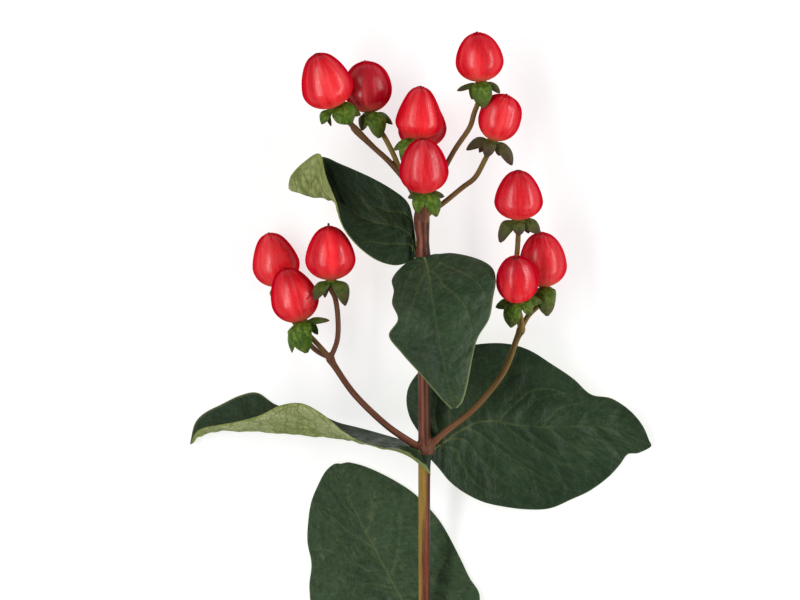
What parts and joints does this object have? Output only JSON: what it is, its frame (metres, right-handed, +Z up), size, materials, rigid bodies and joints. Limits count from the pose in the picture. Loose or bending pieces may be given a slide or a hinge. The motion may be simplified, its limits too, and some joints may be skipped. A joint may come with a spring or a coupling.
{
  "type": "hypericum berry stem",
  "caption": "Cut stem with paired oval leaves and sprays of glossy red berries on leafy green calyces, lying on its side.",
  "frame": {"origin": "on the surface the stem lies on, under the middle of the whole stem's box", "axes": "+Y along the stem from the cut end to the berries, +Z up from the surface, +X to the right as seen from above with the berries at the top"},
  "size_m": [0.1168, 0.1922, 0.0344],
  "materials": {
    "bark": "smooth reddish-brown bark, yellow-green on the lowest stretch",
    "leaf": "dull satin dark green leaf with pale veins, paler grey-green underneath",
    "calyx": "satin green sepals with brown tips",
    "berry": "glossy red skin with soft streaks, paler at the foot"
  },
  "bodies": {
    "root": {"stem": "bark", "leaf_upper_left": "leaf", "leaf_upper_front": "leaf", "leaf_middle_left": "leaf", "leaf_middle_right": "leaf", "leaf_lower_back": "leaf", "leaf_lower_front": "leaf", "calyx_01": "calyx", "calyx_02": "calyx", "calyx_03": "calyx", "calyx_04": "calyx", "calyx_05": "calyx", "calyx_06": "calyx", "calyx_07": "calyx", "calyx_08": "calyx", "calyx_09": "calyx", "calyx_10": "calyx", "calyx_11": "calyx", "calyx_12": "calyx", "calyx_13": "calyx", "berry_01": "berry", "berry_02": "berry", "berry_03": "berry", "berry_04": "berry", "berry_05": "berry", "berry_06": "berry", "berry_07": "berry", "berry_08": "berry", "berry_09": "berry", "berry_10": "berry", "berry_11": "berry", "berry_12": "berry", "berry_13": "berry"}
  },
  "joints": []
}
